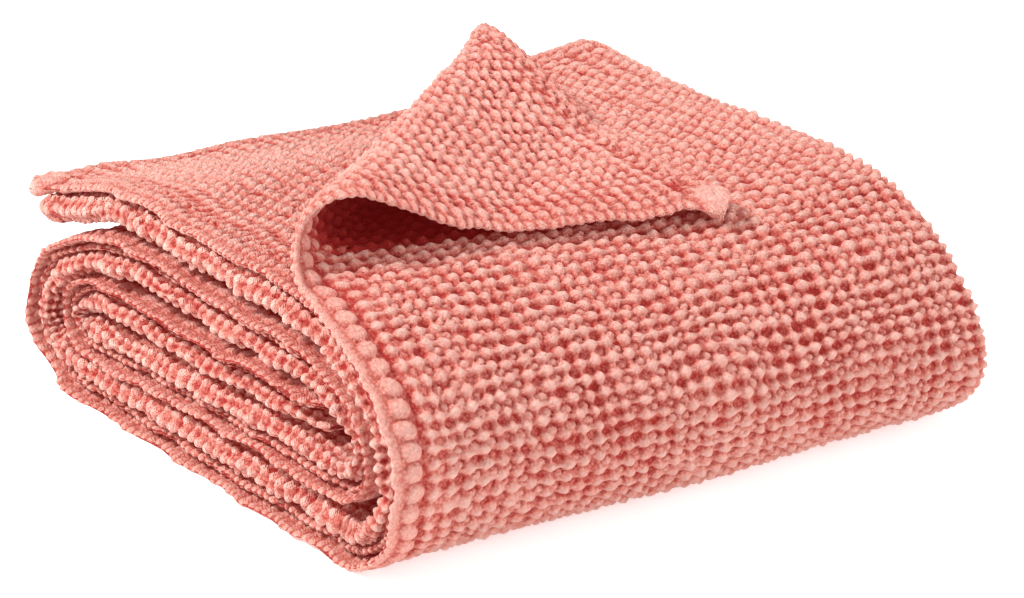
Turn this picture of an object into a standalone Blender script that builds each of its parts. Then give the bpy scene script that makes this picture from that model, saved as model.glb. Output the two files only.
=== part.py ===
"""A folded waffle-weave cotton bedspread.

One rectangle of cloth is folded in four across its width, which makes a long strip of four layers,
and the strip is rolled up flat, in five passes. The free corner of the outermost layer is turned back
over the top. The cloth is worked out as one flat grid whose points are carried to their folded places.

X runs along the bundle from its near end, where the cloth's side edges and one fold lie, to its far end,
where the other two folds lie. Y runs from the front round to the back, Z is up, in metres.
"""

from collections import namedtuple

import bmesh
import bpy
import numpy as np

# driving dimensions
LENGTH = 0.445  # along the bundle, a quarter of the cloth's width
CLOTH_THICKNESS = 0.0030
MIDDLE_X = 0.2232  # from the near end to the middle of the bundle
MIDDLE_Y = 0.2156  # from the front round to the middle of the bundle
TAPER = 0.205  # the far end is this much lower, because the near end's fold is fat
SKEW = 0.004  # the far end lies this much further forward

# Each row is one flat pass of the strip and the turn that follows it. A pass is given by the outermost
# layer's middle line at the near end: where it starts and ends, and how far apart its layers lie. The nose
# is the turn's furthest point. The turns are tight enough that the four layers only just clear each other.
Pass = namedtuple(
    "Pass", "name start_y start_z end_y end_z layer_gap nose_y nose_z nose_gap steps turn_steps"
)
FLOOR = CLOTH_THICKNESS / 2
PASSES = (
    Pass("flap", 0.300, 0.1660, 0.135, 0.1660, 0.0076, 0.000, 0.066, 0.0055, 7, (5, 4)),
    Pass("bottom", 0.062, FLOOR, 0.370, FLOOR, 0.0080, 0.426, 0.048, 0.0060, 3, (4, 5)),
    Pass("upper", 0.270, 0.1265, 0.122, 0.1265, 0.0062, 0.0300, 0.077, 0.0046, 2, (4, 4)),
    Pass("middle", 0.075, 0.0430, 0.356, 0.0345, 0.0068, 0.381, 0.0565, 0.0045, 3, (4, 4)),
    Pass("inner", 0.330, 0.0885, 0.085, 0.0945, 0.0056, None, None, None, 3, None),
)

# The flap's end hangs over the back of the roll, less and less towards the far end, which the fold holds up.
DROOP = 0.034
DROOP_START_Y = 0.290
DROOP_END_Y = 0.440
DROOP_FADE = 3
HEM_STEPS = 6

# Each row is a layer of the strip: how many layer gaps it lies in from the outermost one, where it begins
# and ends along the bundle in its own direction, where the flap's hem crosses it, and its steps. The folds
# between the rows are half ellipses of the given depth.
Layer = namedtuple("Layer", "name gaps start_x end_x hem_y steps fold_depth fold_steps")
LAYERS = (
    Layer("outer", 0.0, -0.004, LENGTH - 0.010, 0.440, 16, 0.0140, 4),
    Layer("fold back", 3.5, LENGTH - 0.010, 0.007, 0.404, 3, -0.0070, 4),
    Layer("fold front", 2.0, 0.007, LENGTH - 0.010, 0.412, 3, 0.0050, 4),
    Layer("second", 1.0, LENGTH - 0.010, 0.003, 0.424, 3, None, None),
)

# The turned-back corner. The crease is a straight line on the cloth, from the end hem to the side hem. The
# near end is the one on the side hem.
CREASE_ON_HEM_X = 0.394
CREASE_ON_SIDE = 0.360  # along the cloth from the end hem
CURL_RADIUS_NEAR = 0.0272
CURL_RADIUS_MIDDLE = 0.0205
CURL_RADIUS_FAR = 0.040
CURL_SLOPE_NEAR = np.radians(26)  # how steeply the turned part comes down again
CURL_SLOPE_FAR = np.radians(20)
CURL_LANDING_RADIUS = 0.03
CURL_RISE = 0.2  # the far end is this much taller than a circle
LAID_BACK_HEIGHT = 0.012  # of the turned part over the cloth it lies on

FINE_STEPS = 60  # to a stretch of the path, when its length is measured
SAME_POINT = 1e-7


def smooth(t):
    """Nought below 0, one above 1, and an S between them."""
    t = np.clip(t, 0, 1)
    return t * t * (3 - 2 * t)


def quarter(start, end, level_first):
    """A quarter ellipse from start to end, which leaves level and arrives upright, or the other way round."""
    turn = np.linspace(0, np.pi / 2, FINE_STEPS)
    ahead, back = (np.sin(turn), 1 - np.cos(turn)) if level_first else (1 - np.cos(turn), np.sin(turn))
    return start[0] + (end[0] - start[0]) * ahead, start[1] + (end[1] - start[1]) * back


def outer_path():
    """The outermost layer's line in the Y-Z plane from the flap's hem to the core, with the gap between
    layers at each point, and the distance along it of every row of the grid."""
    y = np.linspace(LAYERS[0].hem_y, PASSES[0].start_y, FINE_STEPS)
    z = np.full_like(y, PASSES[0].start_z)
    pieces = [(y, z, np.full_like(y, PASSES[0].layer_gap), HEM_STEPS)]
    for now, following in zip(PASSES, PASSES[1:] + (None,)):
        along = np.linspace(0, 1, FINE_STEPS)
        y = now.start_y + (now.end_y - now.start_y) * along
        z = now.start_z + (now.end_z - now.start_z) * smooth(along)
        pieces.append((y, z, np.full_like(y, now.layer_gap), now.steps))
        if following:
            nose = (now.nose_y, now.nose_z)
            gap = np.linspace(now.layer_gap, now.nose_gap, FINE_STEPS)
            pieces.append((*quarter((now.end_y, now.end_z), nose, True), gap, now.turn_steps[0]))
            gap = np.linspace(now.nose_gap, following.layer_gap, FINE_STEPS)
            arrive = quarter(nose, (following.start_y, following.start_z), False)
            pieces.append((*arrive, gap, now.turn_steps[1]))
    y, z, gap = (np.concatenate([piece[i] for piece in pieces]) for i in range(3))
    moved = np.hypot(np.diff(y), np.diff(z))
    along = np.concatenate([[0], np.cumsum(moved)])
    rows = [0.0]
    for i, piece in enumerate(pieces):
        first = along[i * FINE_STEPS]
        last = along[(i + 1) * FINE_STEPS - 1]
        rows += list(first + (last - first) * np.arange(1, piece[3] + 1) / piece[3])
    kept = np.concatenate([[True], moved > SAME_POINT])
    return along[kept], y[kept], z[kept], gap[kept], rows


ALONG, PATH_Y, PATH_Z, PATH_GAP, ROWS = outer_path()
SLOPE_Y = np.gradient(PATH_Y, ALONG)
SLOPE_Z = np.gradient(PATH_Z, ALONG)
FLAP_SHIFTS = LAYERS[0].hem_y - PASSES[0].start_y  # as far in from the hem as the layers' hems differ
FLAP_ENDS = LAYERS[0].hem_y - PASSES[0].end_y


def columns():
    """The grid's columns across the cloth: place along the bundle, gaps in from the outer layer, hem place."""
    found = []
    for now, following in zip(LAYERS, LAYERS[1:] + (None,)):
        for step in range(now.steps + 1):
            x = now.start_x + (now.end_x - now.start_x) * step / now.steps
            found.append((x, now.gaps, now.hem_y))
        if following:
            for step in range(1, now.fold_steps):
                turn = np.pi * step / now.fold_steps
                share = (1 - np.cos(turn)) / 2
                x = now.end_x + (following.start_x - now.end_x) * share + now.fold_depth * np.sin(turn)
                gaps = now.gaps + (following.gaps - now.gaps) * share
                found.append((x, gaps, now.hem_y + (following.hem_y - now.hem_y) * share))
    return found


def curl(x, along):
    """Where the turned-back corner carries a point of the outer layer: the point of the bundle that it
    comes to lie over, and its height there. Past the crease the cloth goes round the curl's circle, comes
    down a slope and lands. Short of the crease it stays."""
    on_hem = np.array([CREASE_ON_HEM_X, 0.0])
    crease = np.array([0.0, CREASE_ON_SIDE]) - on_hem
    crease_length = np.hypot(*crease)
    crease /= crease_length
    to_corner = np.array([-crease[1], crease[0]])
    place = np.array([x, along]) - on_hem
    past = place @ to_corner
    if past <= 0:
        return x, along, 0.0
    share = min(max(place @ crease / crease_length, 0), 1)
    end_radius = CURL_RADIUS_NEAR if share > 0.5 else CURL_RADIUS_FAR
    radius = CURL_RADIUS_MIDDLE + (end_radius - CURL_RADIUS_MIDDLE) * (2 * share - 1) ** 2
    slope = CURL_SLOPE_FAR + (CURL_SLOPE_NEAR - CURL_SLOPE_FAR) * share
    full_turn = np.pi + slope
    turn = min(past / radius, full_turn)
    slope_top = radius * (1 - np.cos(full_turn))
    landing_drop = CURL_LANDING_RADIUS * (1 - np.cos(slope))
    slope_length = (slope_top - LAID_BACK_HEIGHT - landing_drop) / np.sin(slope)
    down = np.clip(past - full_turn * radius, 0, slope_length)
    landed = np.clip(past - full_turn * radius - slope_length, 0, slope * CURL_LANDING_RADIUS)
    left = slope - landed / CURL_LANDING_RADIUS
    level = max(past - full_turn * radius - slope_length - slope * CURL_LANDING_RADIUS, 0)
    out = radius * np.sin(turn) - down * np.cos(slope) - level
    out -= CURL_LANDING_RADIUS * (np.sin(slope) - np.sin(left))
    height = radius * (1 - np.cos(turn)) - down * np.sin(slope)
    height -= CURL_LANDING_RADIUS * (np.cos(left) - np.cos(slope))
    height *= 1 + CURL_RISE * (1 - share) ** 3
    moved = on_hem + crease * (place @ crease) + to_corner * out
    return moved[0], moved[1], height


def folded(x, gaps, hem_y, along):
    """The place in the bundle of the cloth's point that lies at x along it and at this distance along the
    strip: on the outer path, or that many layer gaps inside it."""
    shift = LAYERS[0].hem_y - hem_y
    if along < FLAP_SHIFTS:
        along = shift + (FLAP_SHIFTS - shift) * along / FLAP_SHIFTS
    height = 0.0
    if gaps == 0:
        x, along, height = curl(x, along)
    y, z, gap, run_y, run_z = (
        float(np.interp(along, ALONG, values)) for values in (PATH_Y, PATH_Z, PATH_GAP, SLOPE_Y, SLOPE_Z)
    )
    length = np.hypot(run_y, run_z)
    inwards = gaps * gap - height
    if along < FLAP_ENDS:
        hanging = smooth((y - DROOP_START_Y) / (DROOP_END_Y - DROOP_START_Y))
        z -= DROOP * hanging * (1 - min(max(x / LENGTH, 0), 1) ** DROOP_FADE)
    y -= inwards * run_z / length
    z += inwards * run_y / length
    z = FLOOR + (z - FLOOR) * (1 - TAPER * x / LENGTH)
    return x - MIDDLE_X, y - SKEW * x / LENGTH - MIDDLE_Y, z


def bedspread(material):
    """The cloth: a flat grid with its points carried to their folded places, given its thickness."""
    across = columns()
    mesh = bpy.data.meshes.new("bedspread")
    grid = bmesh.new()
    bmesh.ops.create_grid(grid, x_segments=len(across) - 1, y_segments=len(ROWS) - 1, size=0.5)
    for vertex in grid.verts:
        column = round((vertex.co.x + 0.5) * (len(across) - 1))
        row = round((vertex.co.y + 0.5) * (len(ROWS) - 1))
        vertex.co = folded(*across[column], ROWS[row])
    # Each quad is split along the crease, so that the curl has no jagged facets.
    bmesh.ops.triangulate(grid, faces=grid.faces, quad_method="LONG_EDGE")
    grid.to_mesh(mesh)
    grid.free()
    mesh.shade_smooth()
    mesh.materials.append(material)
    cloth = bpy.data.objects.new("bedspread", mesh)
    thickness = cloth.modifiers.new("thickness", "SOLIDIFY")
    thickness.thickness = CLOTH_THICKNESS
    thickness.offset = 0
    return cloth


def cotton():
    """Stone-washed coral cotton."""
    material = bpy.data.materials.new("coral cotton")
    material.use_nodes = True
    shader = material.node_tree.nodes["Principled BSDF"]
    shader.inputs["Base Color"].default_value = (0.78, 0.30, 0.24, 1)
    shader.inputs["Roughness"].default_value = 0.9
    shader.inputs["Metallic"].default_value = 0
    return material


for old in list(bpy.data.objects):
    bpy.data.objects.remove(old)
parts = bpy.data.collections.new("folded bedspread")
bpy.context.scene.collection.children.link(parts)
parts.objects.link(bedspread(cotton()))
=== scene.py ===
# %% [markdown]
# Some of the colour is painted shade: part of the pockets' deep red, and the hollow under the turned corner.
# # A folded waffle-weave bedspread
# The object is one large cotton cloth, folded in four across its width, rolled up flat, with a free corner
# turned back over the top. The CAD model gives its folded shape as a smooth sheet. This script keeps that
# shape and adds what a plain sheet lacks: the honeycomb relief, the hems, the stitches and the washed colour.
# Everything is in metres, in the CAD model's own frame.

import bpy
import numpy as np
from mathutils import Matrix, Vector


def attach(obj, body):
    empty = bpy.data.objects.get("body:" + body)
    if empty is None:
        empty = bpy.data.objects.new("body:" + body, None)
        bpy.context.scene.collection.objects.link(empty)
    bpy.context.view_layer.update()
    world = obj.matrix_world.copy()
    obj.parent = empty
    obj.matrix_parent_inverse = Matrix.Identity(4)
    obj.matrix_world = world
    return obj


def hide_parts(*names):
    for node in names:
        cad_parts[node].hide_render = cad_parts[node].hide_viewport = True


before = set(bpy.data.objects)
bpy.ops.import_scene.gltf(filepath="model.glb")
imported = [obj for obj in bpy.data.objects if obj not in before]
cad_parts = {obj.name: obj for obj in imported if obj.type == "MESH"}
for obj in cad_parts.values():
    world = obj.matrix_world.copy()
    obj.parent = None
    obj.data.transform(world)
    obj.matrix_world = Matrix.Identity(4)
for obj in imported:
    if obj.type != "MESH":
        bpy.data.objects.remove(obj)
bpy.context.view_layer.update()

# %% [markdown]
# ## Camera and light
# The photograph was taken with a long lens from the near left corner, so the object's far edges hardly
# converge. A camera could be placed by eye. This one was fitted to measured corners of the bundle instead,
# because the cloth's outline then falls where the photograph has it. The main light is a small soft box high
# up behind the near end, which leaves a thin crescent of shadow beside each raised knot. A wider, weaker one
# lights the front from the right, and an even white sky fills the rest.

# %% The camera
CAMERA_PLACE = (-2.05671, -3.00731, 1.57920)
CAMERA_TARGET = (-0.00481, -0.01841, 0.07527)
CAMERA_LENS = 217.5

camera = bpy.data.objects.new("camera", bpy.data.cameras.new("camera"))
camera.data.lens = CAMERA_LENS
camera.data.sensor_width = 36
camera.location = CAMERA_PLACE
towards = Vector(CAMERA_TARGET) - Vector(CAMERA_PLACE)
camera.rotation_euler = towards.to_track_quat("-Z", "Y").to_euler()
bpy.context.scene.collection.objects.link(camera)
bpy.context.scene.camera = camera
print("camera is", round(towards.length, 2), "m from the object")

# %% Soft boxes and sky
# Each row is a soft box: name, place, width, watts.
SOFT_BOXES = (
    ("key", (-2.1, 0.8, 2.7), 0.6, 150),
    ("fill", (2.6, -2.3, 1.4), 1.2, 60),
)
SKY_STRENGTH = 0.80

for name, place, width, watts in SOFT_BOXES:
    box = bpy.data.objects.new(name, bpy.data.lights.new(name, "AREA"))
    box.data.size = width
    box.data.energy = watts
    box.location = place
    box.rotation_euler = (-Vector(place)).to_track_quat("-Z", "Y").to_euler()
    bpy.context.scene.collection.objects.link(box)

sky = bpy.data.worlds.new("white studio")
sky.use_nodes = True
sky.node_tree.nodes["Background"].inputs["Color"].default_value = (1, 1, 1, 1)
sky.node_tree.nodes["Background"].inputs["Strength"].default_value = SKY_STRENGTH
bpy.context.scene.world = sky
bpy.context.scene.view_settings.view_transform = "Standard"
print("lights:", [row[0] for row in SOFT_BOXES])

# %% [markdown]
# ## The strip's path
# The four layers are rolled up together as one strip. The path of the outermost layer is a line in the Y-Z
# plane: flat passes, joined by turns that are two quarter ellipses each. It is the same table as in the CAD
# source, sampled more finely, because the waffle's relief would show every corner of a coarse line.

# %% The outer layer's line
LENGTH = 0.445
MIDDLE_X = 0.2232
MIDDLE_Y = 0.2156
TAPER = 0.205
SKEW = 0.004
FAR_FULLNESS, FAR_FULLNESS_Y, FAR_FULLNESS_SPREAD = 0.050, 0.17, 0.10  # the far end's middle tapers less
FAR_TUCK, FAR_TUCK_Y, FAR_TUCK_Z = 0.009, 0.15, (0.02, 0.10)  # the front's far end is drawn in above the floor
FLOOR = 0.0015
HEM_Y = 0.440
FINE_STEPS = 400
# start y, start z, end y, end z, layer gap, nose y, nose z, gap at the nose
PASSES = (
    (0.300, 0.1660, 0.135, 0.1660, 0.0076, 0.000, 0.066, 0.0055),
    (0.062, FLOOR, 0.370, FLOOR, 0.0080, 0.426, 0.048, 0.0060),
    (0.270, 0.1265, 0.122, 0.1265, 0.0062, 0.0300, 0.077, 0.0046),
    (0.075, 0.0430, 0.356, 0.0345, 0.0068, 0.381, 0.0565, 0.0045),
    (0.330, 0.0885, 0.085, 0.0945, 0.0056, None, None, None),
)


def smooth(t):
    """Nought below 0, one above 1, and t * t * (3 - 2 t) between them."""
    t = np.clip(t, 0, 1)
    return t * t * (3 - 2 * t)


def quarter(start, end, level_first):
    """A quarter ellipse: start plus the difference times sine one way and 1 - cosine the other."""
    turn = np.linspace(0, np.pi / 2, FINE_STEPS)
    ahead, back = (np.sin(turn), 1 - np.cos(turn)) if level_first else (1 - np.cos(turn), np.sin(turn))
    return start[0] + (end[0] - start[0]) * ahead, start[1] + (end[1] - start[1]) * back


def outer_line():
    """The line's distance along it, its y and z, and the gap between layers there."""
    level = np.full(FINE_STEPS, PASSES[0][1])
    parts = [(np.linspace(HEM_Y, PASSES[0][0], FINE_STEPS), level, np.full(FINE_STEPS, PASSES[0][4]))]
    for now, after in zip(PASSES, PASSES[1:] + (None,)):
        share = np.linspace(0, 1, FINE_STEPS)
        y, z = now[0] + (now[2] - now[0]) * share, now[1] + (now[3] - now[1]) * smooth(share)
        parts.append((y, z, np.full(FINE_STEPS, now[4])))
        if after is not None:
            parts.append((*quarter(now[2:4], now[5:7], True), now[4] + (now[7] - now[4]) * share))
            parts.append((*quarter(now[5:7], after[0:2], False), now[7] + (after[4] - now[7]) * share))
    y, z, gap = (np.concatenate([part[i] for part in parts]) for i in range(3))
    along = np.concatenate([[0], np.cumsum(np.hypot(np.diff(y), np.diff(z)))])
    kept = np.concatenate([[True], np.diff(along) > 1e-7])
    ends = along[np.arange(len(parts)) * FINE_STEPS + FINE_STEPS - 1]
    return along[kept], y[kept], z[kept], gap[kept], ends


LINE, LINE_Y, LINE_Z, LINE_GAP, LINE_ENDS = outer_line()
CLOTH_LENGTH = LINE[-1]
# One more point before the hem lets its corners reach a little past it.
BEYOND = 0.02
LINE, LINE_Y = np.append(-BEYOND, LINE), np.append(HEM_Y + BEYOND, LINE_Y)
LINE_Z, LINE_GAP = np.append(LINE_Z[0], LINE_Z), np.append(LINE_GAP[0], LINE_GAP)
RUN_Y, RUN_Z = np.gradient(LINE_Y, LINE), np.gradient(LINE_Z, LINE)
FLAP_SHIFTS = HEM_Y - PASSES[0][0]
FLAP_ENDS = HEM_Y - PASSES[0][2]
print("the strip is", round(CLOTH_LENGTH, 3), "m long; its parts end at", np.round(LINE_ENDS, 3))

# %% [markdown]
# ## The folds across the width
# Across its width the cloth runs to the far end, folds under, comes back, folds again, and so on: four
# layers and three folds. The distance across the cloth is laid out along that zigzag, at the layers' usual
# distance, so that each waffle cell keeps its size round a fold.

# %% The cloth's width
# Each row is a layer: gaps in from the outer one, start x, end x, hem y, depth of the fold after it.
LAYERS = (
    (0.0, -0.004, LENGTH - 0.010, 0.440, 0.0140),
    (3.5, LENGTH - 0.010, 0.007, 0.404, -0.0070),
    (2.0, 0.007, LENGTH - 0.010, 0.412, 0.0050),
    (1.0, LENGTH - 0.010, 0.003, 0.424, None),
)
USUAL_GAP = 0.0066


def zigzag():
    """The distance across the cloth, with the x, the gaps inwards and the hem place at each point, and the
    distances at which the folds start and end."""
    x, gaps, hem, marks = [], [], [], []
    for now, after in zip(LAYERS, LAYERS[1:] + (None,)):
        x.append(np.linspace(now[1], now[2], FINE_STEPS))
        gaps.append(np.full(FINE_STEPS, now[0]))
        hem.append(np.full(FINE_STEPS, now[3]))
        marks.append(len(x) * FINE_STEPS - 1)
        if after is not None:
            turn = np.linspace(0, np.pi, FINE_STEPS)
            share = (1 - np.cos(turn)) / 2
            x.append(now[2] + (after[1] - now[2]) * share + now[4] * np.sin(turn))
            gaps.append(now[0] + (after[0] - now[0]) * share)
            hem.append(now[3] + (after[3] - now[3]) * share)
            marks.append(len(x) * FINE_STEPS - 1)
    x, gaps, hem = (np.concatenate(values) for values in (x, gaps, hem))
    across = np.concatenate([[0], np.cumsum(np.hypot(np.diff(x), USUAL_GAP * np.diff(gaps)))])
    return across, x, gaps, hem, across[marks]


ACROSS, ACROSS_X, ACROSS_GAPS, ACROSS_HEM, MARKS = zigzag()
CLOTH_WIDTH = ACROSS[-1]
ACROSS = np.concatenate([[-BEYOND], ACROSS, [CLOTH_WIDTH + BEYOND]])
ACROSS_X = np.concatenate([[ACROSS_X[0] - BEYOND], ACROSS_X, [ACROSS_X[-1] - BEYOND]])
ACROSS_GAPS, ACROSS_HEM = np.pad(ACROSS_GAPS, 1, "edge"), np.pad(ACROSS_HEM, 1, "edge")
print("the cloth is", round(CLOTH_WIDTH, 3), "m wide; its folds lie at", np.round(MARKS[:-1], 3))

# %% [markdown]
# ## The turned-back corner
# One corner of the outer layer is lifted and laid back. Past a straight crease, the cloth goes round an open
# curl, comes down a slope and lands. A simulation would find such a shape too, but not this one, so the
# curl is a formula of the distance past the crease, with a radius that changes along the crease.

# %% The curl
CREASE_ON_HEM = np.array([0.394, 0.0])
CREASE_ON_SIDE = np.array([0.0, 0.360])
CURL_RADII = (0.040, 0.0205, 0.0272)  # at the hem, in the middle and at the side
CURL_SLOPES = (np.radians(20), np.radians(26))  # at the hem and at the side
LANDING_RADIUS = 0.03
LAID_BACK_HEIGHT = 0.012
CURL_RISE = 0.2
CURL_SQUEEZE = 0.60  # at the hem the curl stands this much less far out


def past_crease(x, along):
    """How far a point of the outer layer lies past the crease, towards the free corner, and how far along it,
    as a share of the crease's length."""
    crease = CREASE_ON_SIDE - CREASE_ON_HEM
    length = np.hypot(*crease)
    crease = crease / length
    right, up = x - CREASE_ON_HEM[0], along - CREASE_ON_HEM[1]
    return up * crease[0] - right * crease[1], (right * crease[0] + up * crease[1]) / length, crease, length


def curl(x, along):
    """Where the curl carries a point: over the circle for radius * (pi + slope), then straight down the slope,
    then round the landing circle and level. Returns the point it lies over and its height."""
    past, place, crease, length = past_crease(x, along)
    share = np.clip(place, 0, 1)
    end_radius = np.where(share > 0.5, CURL_RADII[2], CURL_RADII[0])
    radius = CURL_RADII[1] + (end_radius - CURL_RADII[1]) * (2 * share - 1) ** 2
    slope = CURL_SLOPES[0] + (CURL_SLOPES[1] - CURL_SLOPES[0]) * share
    full = np.pi + slope
    turn = np.clip(past / radius, 0, full)
    top = radius * (1 - np.cos(full))
    slope_length = (top - LAID_BACK_HEIGHT - LANDING_RADIUS * (1 - np.cos(slope))) / np.sin(slope)
    left_over = np.maximum(past - full * radius, 0)
    down = np.minimum(left_over, slope_length)
    landed = np.clip(left_over - slope_length, 0, slope * LANDING_RADIUS)
    left = slope - landed / LANDING_RADIUS
    level = np.maximum(left_over - slope_length - slope * LANDING_RADIUS, 0)
    out = radius * np.sin(turn) - down * np.cos(slope) - level
    out -= LANDING_RADIUS * (np.sin(slope) - np.sin(left))
    height = radius * (1 - np.cos(turn)) - down * np.sin(slope) - LANDING_RADIUS * (np.cos(left) - np.cos(slope))
    height *= 1 + CURL_RISE * (1 - share) ** 3
    out = np.where(out > 0, out * (1 - CURL_SQUEEZE * (1 - share) ** 2), out)
    moved_x = CREASE_ON_HEM[0] + crease[0] * place * length - crease[1] * out
    moved_along = CREASE_ON_HEM[1] + crease[1] * place * length + crease[0] * out
    turned = past > 0
    return np.where(turned, moved_x, x), np.where(turned, moved_along, along), np.where(turned, height, 0)


# %% [markdown]
# ## From the flat cloth to the bundle
# Every point of the flat cloth has one place in the bundle. The functions above give the CAD model's smooth
# shape. Washed cotton never lies that evenly, so soft waves are added: the layers swell together by a
# millimetre or so, the hems wander in and out, the hems that the turned corner uncovers stand up a little
# from one another, and the strip's inner end is pressed flat.

# %% Soft waves
DROOP = 0.034
DROOP_FROM, DROOP_TO = 0.290, 0.440
SWELL = 0.0012  # of all the layers together
EDGE_WANDER, EDGE_SWAY, EDGE_LIFT = 0.0022, 0.0010, 0.0009  # of the near end: in and out, finer, up and down
EDGE_REACH = 0.035  # how far the near end's waves reach along the bundle
HEM_RAISED, HEM_RAISED_OVER, HEM_RAISED_X = 0.0075, 0.13, 0.36  # at the hem, fading over these distances
HEM_RAISED_GAPS, HEM_RAISED_SHARES = (0, 0.5, 1, 2, 3.5), (0, 0.8, 1, 0.85, 0.5)
HEM_DIP = 0.85  # how much less the near corner of the hems is raised
HEM_RIPPLE = 0.0035
PINCHED, PINCH_GAPS, PINCH_SHARE, PINCH_IN = 0.05, 2.75, 0.7, 0.006  # length, middle, closing, drawn in


def waves(a, b, length, seed):
    """The sum of six sine waves in seeded directions, 0.7 to 1.6 times the given length, from about -1 to 1."""
    random = np.random.default_rng(seed)
    total = 0
    for angle, stretch, phase in zip(
        random.uniform(0, np.pi, 6), random.uniform(0.7, 1.6, 6), random.uniform(0, 2 * np.pi, 6)
    ):
        total = total + np.sin(2 * np.pi * (a * np.cos(angle) + b * np.sin(angle)) / (length * stretch) + phase)
    return total / 3


def lies_at(s, t):
    """The place in the bundle of the cloth's middle at s across it and t along it: on the outer line, moved
    inwards by its layer's gaps, or up by the curl and the soft waves, then lowered towards the far end."""
    x, gaps, hem = (np.interp(s, ACROSS, values) for values in (ACROSS_X, ACROSS_GAPS, ACROSS_HEM))
    shift = HEM_Y - hem
    along = np.where(t < FLAP_SHIFTS, shift + (FLAP_SHIFTS - shift) * t / FLAP_SHIFTS, t)
    edge = np.exp(-((x / EDGE_REACH) ** 2))
    wander = EDGE_WANDER * waves(t, gaps * 0.025, 0.055, 11) + EDGE_SWAY * waves(t, gaps * 0.006, 0.02, 13)
    x = x + wander * edge
    swell = SWELL * waves(x, t, 0.19, 12)
    pinch = smooth((t - CLOTH_LENGTH + PINCHED) / PINCHED)
    pinched = PINCH_GAPS + (gaps - PINCH_GAPS) * (1 - PINCH_SHARE * pinch)
    gaps = np.where(gaps > 1.99, pinched, gaps)
    x = x + PINCH_IN * pinch * edge
    outer = s < MARKS[0]
    curled_x, curled_along, height = curl(x, along)
    x, along = np.where(outer, curled_x, x), np.where(outer, curled_along, along)
    height = np.where(outer, height, 0) + swell + EDGE_LIFT * waves(t, gaps * 0.02, 0.045, 15) * edge
    raised = np.interp(gaps, HEM_RAISED_GAPS, HEM_RAISED_SHARES)
    raised = raised * (1 - smooth(t / HEM_RAISED_OVER)) * (1 - smooth(x / HEM_RAISED_X))
    raised = raised * (1 - HEM_DIP * np.exp(-((x / EDGE_REACH) ** 2) - (t / 0.08) ** 2))
    ripple = HEM_RIPPLE * waves(x, 0 * x, 0.085, 14)
    ripple = ripple * (1 - smooth(t / 0.06)) * (1 - smooth((x - 0.30) / 0.08))
    height = height + (HEM_RAISED + ripple) * raised
    y, z, gap, run_y, run_z = (np.interp(along, LINE, v) for v in (LINE_Y, LINE_Z, LINE_GAP, RUN_Y, RUN_Z))
    run = np.hypot(run_y, run_z)
    inwards = gaps * gap - height
    hanging = smooth((y - DROOP_FROM) / (DROOP_TO - DROOP_FROM)) * (1 - np.clip(x / LENGTH, 0, 1) ** 3)
    z = z - np.where(along < FLAP_ENDS, DROOP * hanging, 0)
    y = y - inwards * run_z / run
    z = z + inwards * run_y / run
    share = np.clip(x / LENGTH, 0, 1.02)
    fullness = FAR_FULLNESS * np.exp(-(((y - FAR_FULLNESS_Y) / FAR_FULLNESS_SPREAD) ** 2)) * share**2
    z = FLOOR + (z - FLOOR) * (1 - TAPER * x / LENGTH + fullness)
    tuck = FAR_TUCK * share**3 * smooth((FAR_TUCK_Y - y) / FAR_TUCK_Y)
    tuck = tuck * smooth((z - FAR_TUCK_Z[0]) / (FAR_TUCK_Z[1] - FAR_TUCK_Z[0]))
    return np.stack([x - MIDDLE_X, y - SKEW * x / LENGTH + tuck - MIDDLE_Y, z], axis=-1)


def lies_with_normal(s, t, step=5e-4):
    """The place of the cloth's middle, and its normal: the cross product of a short step each way."""
    across = lies_at(s + step, t) - lies_at(s - step, t)
    along = lies_at(s, t + step) - lies_at(s, t - step)
    normal = np.cross(along, across)
    return lies_at(s, t), normal / np.linalg.norm(normal, axis=-1, keepdims=True)


corners = lies_at(np.array([0, CLOTH_WIDTH]), np.array([0, 0]))
print("the cloth's two corners at its first hem lie at", np.round(corners, 3).tolist())

# %% [markdown]
# ## The waffle
# A honeycomb weave floats its threads into a square net of ridges, with a raised knot where two ridges cross
# and a deep pocket between. Behind each pocket of one face lies a knot of the other. The relief could be a
# bump map, but its knots stand 3 mm proud and show on the outline, so here it is real geometry: a height
# that is added along the cloth's normal. Distances are counted in cells.

# %% The relief
CELL_WIDE, CELL_LONG = 0.012, 0.0102
CELLS_ACROSS = round(CLOTH_WIDTH / CELL_WIDE)
CELLS_ALONG = round(CLOTH_LENGTH / CELL_LONG)
CELL_ACROSS, CELL_ALONG = CLOTH_WIDTH / CELLS_ACROSS, CLOTH_LENGTH / CELLS_ALONG
CREST = 0.0037  # a knot's height over the cloth's middle
POCKET, DEEP_POCKET = 0.0007, -0.0014  # a pocket's bottom, and where only one face of the cloth shows
HEM_CELLS = 2.0
NEAR_FOLD = (MARKS[2] + MARKS[3]) / 2 / CELL_ACROSS  # the fold at the near end
EDGE_ROUND, CORNER_ROUND = 0.30, 0.65  # in cells
CORNER_LIFT = 0.0060
HEM_LIFT, HEM_KNOT = 0.0010, 0.0032
RIM_LIFT, RIM_RIB = 0.0022, 0.0020
KNOT_SPACING = 1.3  # of the front hem's knots, in cells
RIBS_PER_CELL = 1.5
SEAM_DEPTH, STITCH_DEPTH = 0.0005, 0.0015
LOWER_BALLS, LOWEST_BALLS = 0.4, 0.45  # in strained cloth, and on the second layer


def chance(i, j, seed):
    """A number from 0 to 1 that depends only on the whole numbers i and j: the fraction of a large sine."""
    value = np.sin(i * 12.9898 + j * 78.233 + seed * 37.719) * 43758.5453
    return value - np.floor(value)


def dome(right, up, radius, power):
    """A round cap, 1 in its middle: (1 - distance^2 / radius^2) ^ power. A small power makes its rim steep."""
    return np.clip(1 - (right**2 + up**2) / radius**2, 0, 1) ** power


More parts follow.
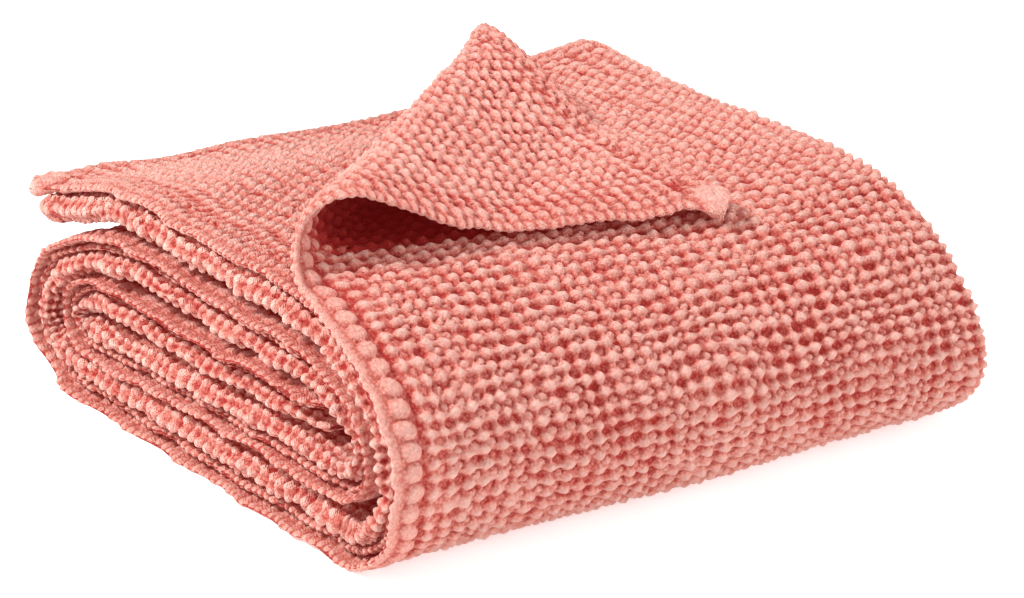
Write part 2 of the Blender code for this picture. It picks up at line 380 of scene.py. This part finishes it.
def waffle(u, v, seed, push):
    """The waffle's height, 0 in a pocket and about 1 on a knot, at u and v cells from a knot. It is the fourth
    root of the sum of fourth powers of three shapes: a net of ridges, stronger one way, a cap on each
    crossing, and a ball in each pocket, where the wash has pushed the pocket out more or less. A ball leans
    to one side of its pocket, which leaves a crescent open on the other. Push scales the balls."""
    i, j = np.round(u), np.round(v)
    right, up = u - i - 0.14 * (chance(i, j, seed) - 0.5), v - j - 0.14 * (chance(i, j, seed + 1) - 0.5)
    cap = dome(right, up, 0.41 + 0.06 * chance(i, j, seed + 2), 0.7) * (0.82 + 0.30 * chance(i, j, seed + 3))
    uneven = 1 + 0.30 * waves(u, v, 2.3, seed + 4)
    lengthwise = 0.48 * uneven * np.exp(-(((u - i) / 0.18) ** 2))
    crosswise = 0.62 * uneven * np.exp(-(((v - j) / 0.20) ** 2))
    net = 1 - (1 - np.clip(lengthwise, 0, 1)) * (1 - np.clip(crosswise, 0, 1))
    i, j = np.floor(u) + 0.5, np.floor(v) + 0.5
    right = u - i + 0.06 - 0.10 * (chance(i, j, seed + 5) - 0.5)
    up = v - j - 0.07 - 0.10 * (chance(i, j, seed + 6) - 0.5)
    pushed = smooth((chance(i, j, seed + 7) - 0.15 + 0.20 * waves(i, j, 9.0, seed + 8)) / 0.6)
    ball = dome(right, up, 0.28 + 0.06 * chance(i, j, seed + 9), 0.55) * (0.18 + 0.60 * pushed) * push
    yarn = 0.05 * waves(u, v, 0.42, seed + 10) + 0.07 * waves(u, v, 0.7, seed + 11)
    return np.maximum((cap**4 + net**4 + ball**4) ** 0.25 + yarn, 0)


def relief(u, v, side, deep=0):
    """How far one face stands from the cloth's middle, and a height from 0 to about 1 for its colour. Away
    from the hems it is the waffle, from the pocket's depth to the crest's. In a hem it is a row of flat round
    knots, with fine ribs at the edge, a sunken line of stitches beside it, and a smooth lump where two hems
    cross. Towards an edge both faces close as a quarter circle."""
    shift = 0.5 if side > 0 else 0.0
    from_side = np.minimum(u, CELLS_ACROSS - u)
    strained = np.maximum(smooth(4 - from_side), np.exp(-(((u - NEAR_FOLD) / 3) ** 2)))
    squeezed = u + 0.9 * (u - NEAR_FOLD) * np.exp(-(((u - NEAR_FOLD) / 3) ** 2))
    second = smooth((u - CELLS_ACROSS / 2) / 2)
    push = 1 - np.maximum(LOWER_BALLS * strained, LOWEST_BALLS * second)
    height = waffle(squeezed - shift, v - shift, 5 if side > 0 else 25, push)
    from_end = np.minimum(v, CELLS_ALONG - v)
    from_edge = np.minimum(from_side, from_end)
    run = np.where(from_side < from_end, v, u)
    hem = 1 - smooth((from_edge - HEM_CELLS + 0.15) / 0.3)
    corner = smooth((2.3 - np.maximum(from_side, v)) / 0.5) * hem
    ribs = 0.5 - 0.5 * np.cos(2 * np.pi * RIBS_PER_CELL * (run + 0.12 * waves(run, from_edge, 3.0, 41)))
    near_rim = np.exp(-((from_edge / 0.55) ** 2))
    pits = smooth((height - 0.30) / 0.5)
    if side > 0:
        run = run / KNOT_SPACING
        knots = dome((from_edge - 1.22) / 1.1, (run - np.round(run)) * 1.1, 0.53, 0.3)
        knots = np.where(from_side < from_end, knots, pits)
        ribs = ribs * (0.4 + 0.6 * smooth((v - 58) / 8))
    else:
        knots = pits
    flat = HEM_LIFT + HEM_KNOT * knots * (1 - near_rim) + (RIM_LIFT - RIM_RIB * ribs) * near_rim
    flat = flat * (1 - corner) + (CORNER_LIFT + 0.0010 * waves(u, v, 0.9, 42)) * corner
    pocket = POCKET + (DEEP_POCKET - POCKET) * deep * smooth((from_edge - 3.0) / 1.0)
    lift = (pocket + (CREST - pocket) * height) * (1 - hem) + flat * hem
    seam_place = HEM_CELLS + 0.12 * waves(run, 0 * run, 3.0, 45)
    seam = np.exp(-(((from_edge - seam_place) / 0.11) ** 2)) * (1 - corner)
    stitch = smooth((np.cos(2 * np.pi * (run + 0.3 * waves(run, 0 * run, 2.0, 43)) / 0.8) + 0.35) / 0.4)
    lift = lift - seam * (SEAM_DEPTH + STITCH_DEPTH * stitch) * smooth(lift / 0.002)
    height = height * (1 - hem) + (0.26 + 0.54 * np.maximum(knots, near_rim)) * hem
    height = height * (1 - corner) + (0.8 + 0.2 * waves(u, v, 0.7, 44)) * corner
    height = height * (1 - seam * (0.1 + 0.9 * stitch)) * (1 - 0.75 * near_rim * ribs**2 * (1 - corner))
    rounding = EDGE_ROUND + (CORNER_ROUND - EDGE_ROUND) * corner
    for distance in (from_side, from_end):
        lift = lift * np.sqrt(1 - (1 - np.clip(distance / rounding, 0, 1)) ** 2)
    return lift, height


print("waffle of", CELLS_ACROSS, "by", CELLS_ALONG, "cells")

# %% [markdown]
# ## Skins
# One mesh of the whole cloth with this relief would need millions of faces, most of them inside the roll.
# So a thin plain sheet is made of the whole cloth, and the faces that can be seen get a skin each: a fine
# grid of the same cloth, lifted off the sheet by the relief. Each skin is a range of cells on one face.

# %% Make a skin
ROOM = 0.47  # share of the gap between layers that a face may fill
EAR = 0.006  # how far a corner stands past the hems
BEAD = 0.0006  # how far each knot of a side hem stands out
CROOKED = 0.22  # how far a line of cells wanders, in cells
SHRUNK = 0.14
FADED_LIFT = 0.0002  # of a skin where it sinks into the sheet
# painted shade in the hollow under the turned corner: how far it lowers the height for the colour
HOLLOW_SHADE = 1.15


def cell_place(u, v):
    """The place on the cloth of a point counted in cells. Away from the hems the lines of cells are a little
    crooked: up to a fifth of a cell, over waves of 4 to 9 cells. The second layer has shrunk more at its free
    end. At a corner the crossing hems stand out, with a rounded outline, and along the sides each knot does."""
    from_side, from_end = np.minimum(u, CELLS_ACROSS - u), np.minimum(v, CELLS_ALONG - v)
    inside = smooth(np.minimum(from_side, from_end) / 4)
    ear = EAR * smooth((2.8 - np.maximum(from_side, from_end)) / 1.0)
    ear = ear - 1.1 * EAR * smooth(1 - (from_side + from_end) / 1.6)
    bead = BEAD * np.cos(2 * np.pi * RIBS_PER_CELL * v) * np.exp(-((from_side / 0.4) ** 2))
    s = (u + CROOKED * inside * waves(u, v, 6.0, 31)) * CELL_ACROSS
    s = s + (ear + bead) * np.where(u < CELLS_ACROSS / 2, -1, 1)
    shrunk = SHRUNK * smooth((u * CELL_ACROSS - MARKS[4]) / 0.06) * (1 - smooth((v - 45) / 120))
    t = (v * (1 - shrunk) + CROOKED * inside * waves(u, v, 6.0, 32)) * CELL_ALONG - ear * (v < CELLS_ALONG / 2)
    return s, t


def in_painted_shade(s, t):
    """1 in the hollow under the turned corner, where shade is painted into the colour, and 0 outside it: behind
    its mouth, which is a line over the top, on the bundle's side of the curl, and between the near hem and the
    place where the curl comes down."""
    x = np.interp(s, ACROSS, ACROSS_X)
    hidden = smooth((0.304 + 0.08 * x - t) / 0.014) * smooth((past_crease(x, t)[0] + 0.14) / 0.10)
    return hidden * smooth((x - 0.012) / 0.030) * (1 - smooth((x - 0.17) / 0.10)) * (s < MARKS[0])


def skin(u_samples, v_samples, side, fade=None, free=False, deep=None):
    """The points of one face over a grid of cells, with its height for the colour and its cloth coordinates.
    Each point is the cloth's middle plus the relief times the normal. A face that isn't free fills only its share
    of the gap between layers, and what would sink into the floor is pressed flat on it. In the hollow, where
    light comes only through the cloth, the height for the colour is lowered: its shade is painted into the
    colour."""
    v, u = np.meshgrid(v_samples, u_samples, indexing="ij")
    s, t = cell_place(u, v)
    middle, normal = lies_with_normal(s, t)
    lift, height = relief(u, v, side, deep(u, v) if deep else 0)
    if not free:
        gap = np.interp(t, LINE, LINE_GAP)
        lift = lift * np.minimum(1, ROOM * gap / CREST)
    if fade is not None:
        lift = lift * fade(u, v) + FADED_LIFT * (1 - fade(u, v))
    place = middle + side * normal * lift[..., None]
    place[..., 2] = np.maximum(place[..., 2], 0)
    if side > 0:
        # painted shade: the hollow under the turned corner is darkened in the colour
        height = height - HOLLOW_SHADE * in_painted_shade(s, t)
    return place, height, np.stack([s, t], axis=-1), (u, v)


def samples(start, end, per_cell):
    """Even steps from start to end, in cells. A start at the cloth's edge gets closer steps round it."""
    even = np.linspace(start, end, round((end - start) * per_cell) + 1)
    close = np.array([0.0, 0.02, 0.06, 0.12, 0.20])
    if start == 0:
        even = np.concatenate([close, even[even > 0.22]])
    return even


print("a face of the outer layer has", len(samples(0, 37, 8)), "steps across")

# %% [markdown]
# ## Cotton
# The cloth was dyed and stone-washed, so wear has left its crests pale and its pockets keep a deep coral red,
# which is partly dye that kept its colour and partly painted shade.
# The height of the relief travels with each mesh as an attribute, and the colour follows it. A faint red
# glow stands for the light that comes through the cloth into its folds. The threads themselves are far finer
# than the mesh, so they are a bump: sine waves on the cloth's own coordinates, small round loops, and a fine
# noise for lint.


# %% A shorthand for shader maths
class Wire:
    """An output socket that can be added, subtracted and multiplied in an expression."""

    tree = None

    def __init__(self, socket):
        self.socket = socket

    @classmethod
    def node(cls, kind, settings=None, **values):
        """A node of a type, its settings, and the values or links of its sockets, by name or by _number."""
        made = cls.tree.nodes.new(kind)
        for name, value in (settings or {}).items():
            setattr(made, name, value)
        for name, value in values.items():
            socket = made.inputs[int(name[1:])] if name[0] == "_" else made.inputs[name.replace("_", " ")]
            if isinstance(value, Wire):
                cls.tree.links.new(value.socket, socket)
            else:
                socket.default_value = value
        return made

    @classmethod
    def maths(cls, operation, *values):
        made = cls.node("ShaderNodeMath", {"operation": operation}, **{f"_{i}": v for i, v in enumerate(values)})
        return cls(made.outputs[0])

    def __add__(self, other):
        return Wire.maths("ADD", self, other)

    def __sub__(self, other):
        return Wire.maths("SUBTRACT", self, other)

    def __mul__(self, other):
        return Wire.maths("MULTIPLY", self, other)

    def __rsub__(self, other):
        return Wire.maths("SUBTRACT", other, self)

    def __radd__(self, other):
        return Wire.maths("ADD", other, self)

    def __rmul__(self, other):
        return Wire.maths("MULTIPLY", other, self)


# %% The cotton material
# The hollow red is painted shade, for the hollow under the turned corner.
PAINTED_SHADE_RED = (0.30, 0.003, 0.006, 1)
# Pocket red is partly dye that kept its colour and partly painted shade in the pockets.
POCKET_RED_AND_SHADE = (0.47, 0.036, 0.028, 1)
MIDDLE_CORAL = (0.82, 0.300, 0.235, 1)
WORN_CORAL = (0.94, 0.560, 0.475, 1)
LIGHT_THROUGH = (0.30, 0.012, 0.010, 1)  # what comes through the cloth into its folds
THREAD = 0.0011  # from one thread to the next
CLOUDS, LINT, LOOPS = 16.0, 560.0, 430.0  # how fine the washed clouds, the lint and the loops of yarn are


def mixed(share, first, second, blend="MIX"):
    """Two colours mixed by a share."""
    made = Wire.node("ShaderNodeMix", {"data_type": "RGBA", "blend_type": blend, "clamp_factor": True})
    for index, value in ((0, share), (6, first), (7, second)):
        if isinstance(value, Wire):
            Wire.tree.links.new(value.socket, made.inputs[index])
        else:
            made.inputs[index].default_value = value
    return Wire(made.outputs[2])


def cotton():
    """Coral cotton: colour by height, clouded by washing, with threads both ways as a bump."""
    material = bpy.data.materials.new("waffle cotton")
    material.use_nodes = True
    Wire.tree = material.node_tree
    shader = material.node_tree.nodes["Principled BSDF"]
    height = Wire(Wire.node("ShaderNodeAttribute", {"attribute_name": "height"}).outputs["Fac"])
    place = Wire(Wire.node("ShaderNodeTexCoord").outputs["Object"])
    cloth = Wire(Wire.node("ShaderNodeUVMap", {"uv_map": "cloth"}).outputs["UV"])
    cloud = Wire(Wire.node("ShaderNodeTexNoise", Vector=place, Scale=CLOUDS, Detail=3.0).outputs["Fac"])
    lint = Wire(Wire.node("ShaderNodeTexNoise", Vector=place, Scale=LINT, Detail=5.0).outputs["Fac"])
    loops = Wire(Wire.node("ShaderNodeTexVoronoi", Vector=place, Scale=LOOPS, Randomness=1.0).outputs["Distance"])
    # Pale crests come from wear; the low values of the pockets and the hollow also carry painted shade.
    wear_and_shade = height + (cloud - 0.5) * 0.30 + (lint - 0.5) * 0.60 - (loops - 0.35) * 0.40
    low = Wire.maths("SMOOTH_MIN", wear_and_shade * 2.0, 1.0, 0.1)
    high = (wear_and_shade - 0.40) * 1.9
    # Below a pocket's own height the colour runs into the painted shade of the hollow.
    pocket = mixed((height + 0.8) * 1.25, PAINTED_SHADE_RED, POCKET_RED_AND_SHADE)
    colour = mixed(high, mixed(low, pocket, MIDDLE_CORAL), WORN_CORAL)
    split = Wire.node("ShaderNodeSeparateXYZ", _0=cloth)
    weft = Wire.maths("SINE", Wire(split.outputs["X"]) * (2 * np.pi / THREAD))
    warp = Wire.maths("SINE", Wire(split.outputs["Y"]) * (2 * np.pi / THREAD))
    threads = weft * warp * 0.25 + lint * 1.4 - loops * 1.3
    bump = Wire.node("ShaderNodeBump", None, Strength=1.0, Distance=0.0018, Height=threads)
    material.node_tree.links.new(colour.socket, shader.inputs["Base Color"])
    material.node_tree.links.new(bump.outputs["Normal"], shader.inputs["Normal"])
    shader.inputs["Roughness"].default_value = 0.92
    shader.inputs["Emission Color"].default_value = LIGHT_THROUGH
    shader.inputs["Emission Strength"].default_value = 0.20
    shader.inputs["Specular IOR Level"].default_value = 0.12
    shader.inputs["Sheen Weight"].default_value = 0.06
    shader.inputs["Sheen Roughness"].default_value = 0.5
    shader.inputs["Sheen Tint"].default_value = (1.0, 0.72, 0.66, 1)
    return material


COTTON = cotton()
print("the cotton has", len(COTTON.node_tree.nodes), "nodes")

# %% [markdown]
# ## From grids to pieces
# A piece joins one or more skins in one mesh. The faces of a back face are turned the other way round, so
# that all of them look out of the cloth.


# %% Make a piece
def piece(name, skins):
    """A mesh object of several skins, given as (u samples, v samples, side, options)."""
    points, quads, heights, cloths, count = [], [], [], [], 0
    for u_samples, v_samples, side, *rest in skins:
        options = rest[0] if rest else {}
        kept = options.get("keep")
        place, height, cloth, (u, v) = skin(
            u_samples, v_samples, side, options.get("fade"), options.get("free", False), options.get("deep")
        )
        corner = np.arange(place.shape[0] * place.shape[1]).reshape(place.shape[:2])
        faces = np.stack([corner[:-1, :-1], corner[:-1, 1:], corner[1:, 1:], corner[1:, :-1]], axis=-1)
        if kept is not None:
            faces = faces[kept(u, v)[:-1, :-1]]
        faces = faces.reshape(-1, 4)
        if side > 0:
            faces = faces[:, ::-1]
        points.append(place.reshape(-1, 3))
        heights.append(height.ravel())
        cloths.append(cloth.reshape(-1, 2))
        quads.append(faces + count)
        count += len(points[-1])
    points, heights, cloths = np.concatenate(points), np.concatenate(heights), np.concatenate(cloths)
    quads = np.concatenate(quads)
    used = np.unique(quads)
    renumber = np.zeros(len(points), int)
    renumber[used] = np.arange(len(used))
    points, heights, cloths, quads = points[used], heights[used], cloths[used], renumber[quads]
    mesh = bpy.data.meshes.new(name)
    mesh.from_pydata(points, [], quads)
    mesh.attributes.new("height", "FLOAT", "POINT").data.foreach_set("value", heights.astype(np.float32))
    mesh.uv_layers.new(name="cloth").data.foreach_set("uv", cloths[quads.ravel()].astype(np.float32).ravel())
    mesh.shade_smooth()
    mesh.materials.append(COTTON)
    made = bpy.data.objects.new(name, mesh)
    bpy.context.scene.collection.objects.link(made)
    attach(made, "root")
    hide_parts("bedspread")
    print(name, "has", 2 * len(quads), "triangles")
    return made


# %% [markdown]
# ## The plain sheet
# The whole cloth, a little over half a millimetre thick, follows every fold inside the roll. It is what the
# skins lie on, and all that there is of the cloth where nobody can see it. Under a skin with deep pockets it
# lies a little behind the cloth's middle. A Solidify modifier gives it its two faces.

# %% The sheet inside
SHEET_THICKNESS = 0.0006
SHEET_BEHIND = 0.0017
SHEET_HEIGHT = 0.15  # for the colour
BACK_END = 111  # the last row of cells of the outer wrap
FOLD_CELLS = MARKS / CELL_ACROSS
LINE_CELLS = LINE_ENDS / CELL_ALONG


def sheet_samples(marks, steps):
    """Places between 0 and each mark in turn, with the given number of steps in each stretch."""
    starts = np.concatenate([[0], marks[:-1]])
    stretches = [np.linspace(a, b, n + 1)[1:] for a, b, n in zip(starts, marks, steps)]
    return np.concatenate([[0], *stretches])


sheet_u = sheet_samples(FOLD_CELLS, (30, 10, 14, 10, 14, 8, 16))
sheet_v = sheet_samples(LINE_CELLS, (10, 12, 10, 10, 12, 10, 10, 8, 10, 10, 12, 10, 10, 12))
v, u = np.meshgrid(sheet_v, sheet_u, indexing="ij")
s, t = cell_place(u, v)


def behind(u, v):
    """How far the sheet lies behind the middle, where a skin with deep pockets covers only its other face."""
    outer = smooth((u - 2.5) / 1.0) * smooth((FOLD_CELLS[1] + 4 - u) / 2) * smooth((BACK_END + 2 - v) / 2)
    second = smooth((CELLS_ACROSS - 2.5 - u) / 1.0) * smooth((u - FOLD_CELLS[5]) / 2) * smooth((46 - v) / 2)
    near = np.exp(-(((u - NEAR_FOLD) / 1.4) ** 4))
    return (second - outer - near) * smooth((v - 2.5) / 1.0)


middle, normal = lies_with_normal(s, t)
place = middle + SHEET_BEHIND * behind(u, v)[..., None] * normal
place[..., 2] = np.maximum(place[..., 2], SHEET_THICKNESS / 2)
corner = np.arange(u.size).reshape(u.shape)
faces = np.stack([corner[:-1, :-1], corner[:-1, 1:], corner[1:, 1:], corner[1:, :-1]], axis=-1)
flat_x = np.interp(s, ACROSS, ACROSS_X)
bare = (s < MARKS[0]) & (past_crease(flat_x, t)[0] > 0.004)
faces = faces[~bare[:-1, :-1]].reshape(-1, 4)[:, ::-1]
mesh = bpy.data.meshes.new("bedspread_cloth")
mesh.from_pydata(place.reshape(-1, 3), [], faces)
heights = np.full(u.size, SHEET_HEIGHT, np.float32)
mesh.attributes.new("height", "FLOAT", "POINT").data.foreach_set("value", heights)
cloth = np.stack([s, t], axis=-1).reshape(-1, 2)[faces.ravel()]
mesh.uv_layers.new(name="cloth").data.foreach_set("uv", cloth.astype(np.float32).ravel())
mesh.shade_smooth()
mesh.materials.append(COTTON)
sheet = bpy.data.objects.new("bedspread_cloth", mesh)
bpy.context.scene.collection.objects.link(sheet)
thickness = sheet.modifiers.new("thickness", "SOLIDIFY")
thickness.thickness = SHEET_THICKNESS
thickness.offset = 0
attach(sheet, "root")
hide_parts("bedspread")
print("the sheet has", 4 * len(faces), "triangles")

# %% [markdown]
# ## The outer wrap
# The outermost layer's front face goes from the flap's hem over the top, round the front, under the bundle
# and up the back. Its skin also goes round the far fold, so the far end is closed. It is split along its
# length, because one mesh of it would be too heavy.

# %% Top, front, underside and back
FINE, FINE_ALONG = 8, 7
WRAP_END = np.ceil(FOLD_CELLS[1] + 3)
wrap_u = samples(0, WRAP_END, FINE)


def wrap_fade(u, v):
    return smooth((WRAP_END - u) / 0.5)


def deep_pockets(u, v):
    """1 where only the front face shows, 0 at the rows and columns where other skins join on."""
    return smooth((BACK_END - v) / 2) * smooth((FOLD_CELLS[1] + 2 - u) / 2)


TOP_END, FRONT_END, UNDER_END = 31, 58, 86
deep_wrap = {"fade": wrap_fade, "free": True, "deep": deep_pockets}
rear_u = samples(0, WRAP_END, 6)
wrap = [
    piece("outer_top", [(wrap_u, samples(0, TOP_END, FINE_ALONG), 1, deep_wrap)]),
    piece("outer_front", [(wrap_u, samples(TOP_END, FRONT_END, FINE_ALONG), 1, deep_wrap)]),
    piece("outer_underside", [(rear_u, samples(FRONT_END, UNDER_END, 2), 1, deep_wrap)]),
    piece("outer_back", [(rear_u, samples(UNDER_END, BACK_END, 5), 1, deep_wrap)]),
]

# %% [markdown]
# ## The turned corner and what it uncovers
# The turned corner shows the back of the outer layer, and the triangle that it has left shows the back of
# the second layer, down to its hems.


# %% Turned corner and uncovered triangle
def turned(u, v):
    """True where the outer layer has been turned back, and a little way before the crease."""
    s, t = cell_place(u, v)
    return past_crease(np.interp(s, ACROSS, ACROSS_X), t)[0] > -0.006


def uncovered(u, v):
    """True where the second layer shows, and a little way under the curl."""
    s, t = cell_place(u, v)
    return past_crease(np.interp(s, ACROSS, ACROSS_X), t)[0] > -0.050


def everywhere(u, v):
    return np.ones_like(u)


deep_corner = {"keep": turned, "free": True, "deep": everywhere}
corner_piece = piece("turned_corner", [(samples(0, 34, FINE), samples(0, 37, FINE_ALONG), -1, deep_corner)])
SECOND_FROM = np.ceil(FOLD_CELLS[5] + 0.5)
second_u = (CELLS_ACROSS - samples(0, CELLS_ACROSS - SECOND_FROM, FINE))[::-1]
deep_second = {"keep": uncovered, "free": True, "deep": everywhere}
second_piece = piece("uncovered_layer", [(second_u, samples(0, 46, 6), -1, deep_second)])

# %% [markdown]
# ## The near end
# The near end shows every layer of every pass: the side hems of the outer and second layers, and the fold
# between the other two. Each is a narrow band that runs along the whole strip into the roll. The fold has
# the finest grid, because its knots are the nearest to the eye.

# %% Hems and fold at the near end
BAND = 3.0
COARSE = 6
COARSE_ALONG = 5


def band_fade(u, v):
    """Sinks a band's inner edge into the sheet."""
    inner = np.minimum(np.abs(u - BAND), np.abs(CELLS_ACROSS - BAND - u))
    return smooth(inner / 0.5)


def not_turned(u, v):
    """True up to the crease, a little past the turned corner's first row."""
    s, t = cell_place(u, v)
    return past_crease(np.interp(s, ACROSS, ACROSS_X), t)[0] < 0


def covered(u, v):
    return ~uncovered(u, v)


band_u = samples(0, BAND, COARSE)
last_u = (CELLS_ACROSS - band_u)[::-1]
whole_v = samples(0, CELLS_ALONG, COARSE_ALONG)
hem_bands = [
    piece(
        "outer_side_hem",
        [
            (band_u, whole_v, -1, {"fade": band_fade, "keep": not_turned}),
            (band_u, samples(BACK_END, CELLS_ALONG, COARSE_ALONG), 1, {"fade": band_fade}),
        ],
    ),
    piece(
        "second_side_hem",
        [
            (last_u, whole_v, -1, {"fade": band_fade, "keep": covered}),
            (last_u, whole_v, 1, {"fade": band_fade}),
        ],
    ),
]
FOLD_FROM, FOLD_TO = FOLD_CELLS[2] - 2.2, FOLD_CELLS[3] + 2.2


def fold_fade(u, v):
    return smooth(np.minimum(u - FOLD_FROM, FOLD_TO - u) / 0.5)


def fold_pockets(u, v):
    """Deep pockets round the fold, where the sheet lies behind its middle."""
    return smooth((1.3 - np.abs(u - NEAR_FOLD)) / 0.4)


fold_piece = piece(
    "near_fold",
    [(samples(FOLD_FROM, FOLD_TO, 11), samples(0, CELLS_ALONG, 6), 1, {"fade": fold_fade, "deep": fold_pockets})],
)

# %% [markdown]
# ## The far end
# The far end shows only the outer fold. The wrap's skins cover it where the strip is outermost, and one more
# band carries it into the roll.

# %% Fold at the far end
FAR_FROM, FAR_TO = FOLD_CELLS[0] - BAND, FOLD_CELLS[1] + BAND


def far_fade(u, v):
    return smooth(np.minimum(u - FAR_FROM, FAR_TO - u) / 0.5)


far_piece = piece(
    "far_fold", [(samples(FAR_FROM, FAR_TO, 5), samples(BACK_END, CELLS_ALONG, 3), 1, {"fade": far_fade})]
)

# %% [markdown]
# ## The flap's end
# From behind, the ends of all four layers show under one another, each with its hem.


# %% End hems
def end_fade(u, v):
    return smooth((BAND - v) / 0.5)


def flat_part(u, v):
    return ~turned(u, v)


end_v = samples(0, BAND, COARSE)
back_u = np.linspace(FOLD_CELLS[1], FOLD_CELLS[2], 36 * COARSE)
front_u = np.linspace(FOLD_CELLS[3], FOLD_CELLS[4], 36 * COARSE)
second_flat = np.linspace(FOLD_CELLS[5], CELLS_ACROSS - BAND, 34 * COARSE)
end_piece = piece(
    "end_hems",
    [
        (samples(0, FOLD_CELLS[0], COARSE), end_v, -1, {"fade": end_fade, "keep": flat_part}),
        (back_u, end_v, 1, {"fade": end_fade}),
        (back_u, end_v, -1, {"fade": end_fade}),
        (front_u, end_v, 1, {"fade": end_fade}),
        (front_u, end_v, -1, {"fade": end_fade}),
        (second_flat, end_v, 1, {"fade": end_fade}),
        (second_flat, end_v, -1, {"fade": end_fade, "keep": covered}),
    ],
)

# %% [markdown]

# %% [markdown]
# ## Floor
# The photograph has a plain white ground. A wide pale sheet stands for it.

# %% The floor
floor_mesh = bpy.data.meshes.new("floor")
floor_mesh.from_pydata([(-30, -30, 0), (30, -30, 0), (30, 30, 0), (-30, 30, 0)], [], [(0, 1, 2, 3)])
floor = bpy.data.objects.new("floor", floor_mesh)
paper = bpy.data.materials.new("white paper")
paper.use_nodes = True
paper.node_tree.nodes["Principled BSDF"].inputs["Base Color"].default_value = (0.80, 0.80, 0.80, 1)
paper.node_tree.nodes["Principled BSDF"].inputs["Roughness"].default_value = 0.9
paper.node_tree.nodes["Principled BSDF"].inputs["Emission Color"].default_value = (1, 1, 1, 1)
paper.node_tree.nodes["Principled BSDF"].inputs["Emission Strength"].default_value = 0.57
floor_mesh.materials.append(paper)
bpy.context.scene.collection.objects.link(floor)
